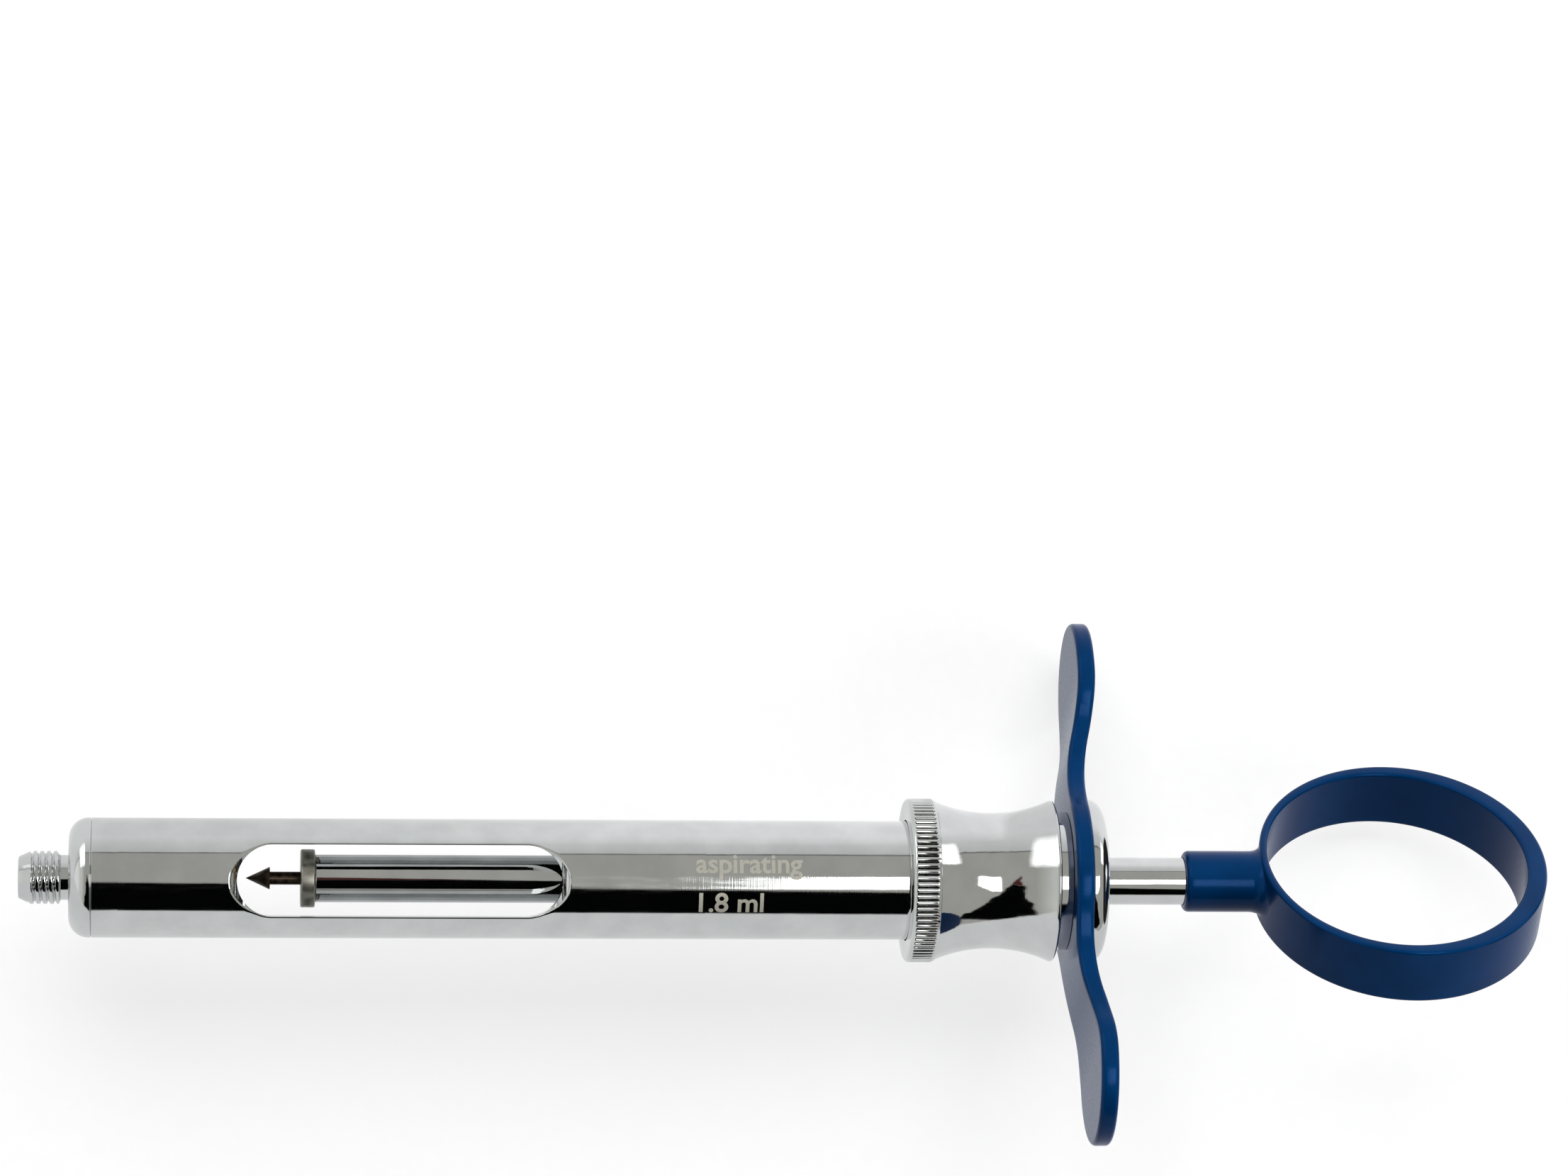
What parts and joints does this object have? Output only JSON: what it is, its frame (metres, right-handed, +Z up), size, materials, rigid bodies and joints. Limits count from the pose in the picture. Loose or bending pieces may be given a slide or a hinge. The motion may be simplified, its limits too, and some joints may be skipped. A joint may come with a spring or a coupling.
{
  "type": "aspirating dental syringe",
  "caption": "Side-loading metal cartridge syringe for dental anaesthetic: windowed barrel, waisted knurled grip, swept finger bar, and a barbed plunger drawn by a thumb ring.",
  "frame": {"origin": "on the syringe's axis, at the shoulder where the needle thread ends", "axes": "+X along the axis from the needle end to the thumb ring, +Z up through the viewing window, +Y to the side"},
  "size_m": [0.172, 0.058, 0.0362],
  "materials": {
    "chrome_plate": "polished chrome plate",
    "blue_coating": "satin royal blue coating",
    "satin_steel": "satin turned stainless steel",
    "dark_steel": "dark hardened steel",
    "spring_steel": "drawn spring wire",
    "brass": "plain turned brass",
    "nitrile": "black nitrile rubber"
  },
  "bodies": {
    "holder": {"needle_adaptor": "chrome_plate", "nose_cap": "chrome_plate", "barrel_tube": "chrome_plate", "grip": "chrome_plate", "guide_spring": "spring_steel", "finger_bar": "blue_coating", "rear_cap": "chrome_plate", "rod_oring": "nitrile"},
    "guide": {"guide_bearing": "brass"},
    "plunger": {"plunger_rod": "chrome_plate", "piston_head": "satin_steel", "harpoon": "dark_steel", "thumb_ring": "blue_coating"}
  },
  "joints": [
    {"name": "plunger_turn", "type": "hinge", "parent": "holder", "child": "guide", "pos_m": [0.1, 0, 0], "axis": [1, 0, 0], "continuous": true},
    {"name": "plunger_slide", "type": "slide", "parent": "guide", "child": "plunger", "axis": [1, 0, 0], "range_m": [-0.00915, 0.05415]}
  ]
}
